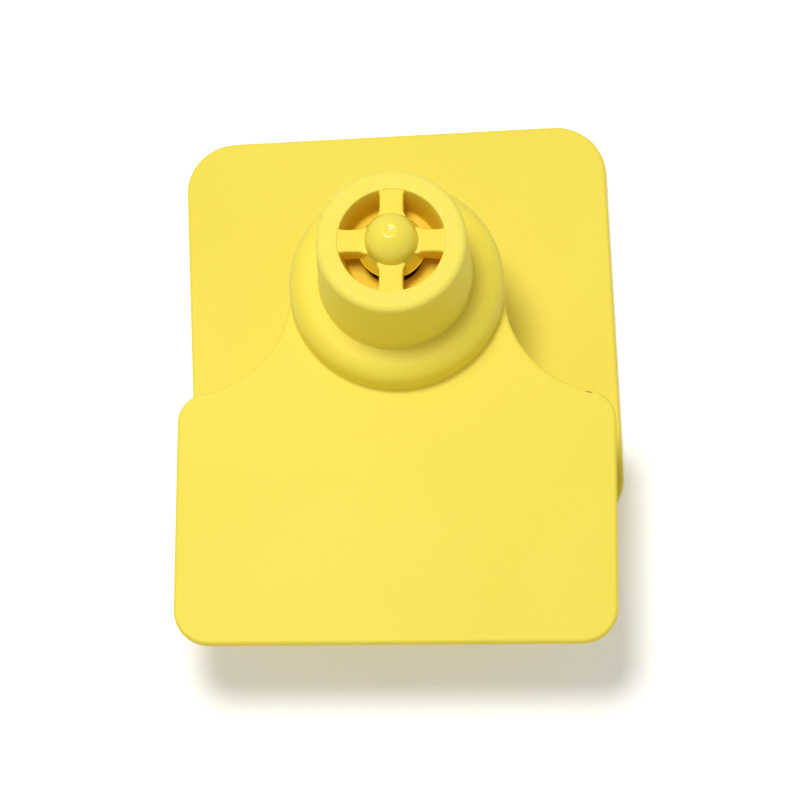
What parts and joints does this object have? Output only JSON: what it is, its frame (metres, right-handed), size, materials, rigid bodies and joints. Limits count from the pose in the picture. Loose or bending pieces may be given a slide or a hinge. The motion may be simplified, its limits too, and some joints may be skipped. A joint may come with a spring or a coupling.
{
  "type": "livestock ear tag",
  "caption": "Two-piece livestock ear tag, snapped together: square male plate with a hollow stud and hard tip, T-shaped female panel with a flanged boss and vented cap.",
  "frame": {"origin": "on the pin's axis, at the male plate's flat back face", "axes": "+Z along the pin from the male plate to the female boss, +X across the panels, -Y the way the female panel hangs from its boss"},
  "size_m": [0.0578, 0.0761, 0.0393],
  "materials": {
    "male_tag": "satin",
    "pin_tip": "satin",
    "female_tag": "satin",
    "lock_ring": "gloss"
  },
  "bodies": {
    "male": {"male_tag": "male_tag", "pin_tip": "pin_tip"},
    "female": {"female_tag": "female_tag", "lock_ring": "lock_ring"}
  },
  "joints": [
    {"name": "pin_spin", "type": "hinge", "parent": "male", "child": "female", "pos_m": [0, 0, 0.018], "axis": [0, 0, 1], "continuous": true}
  ]
}
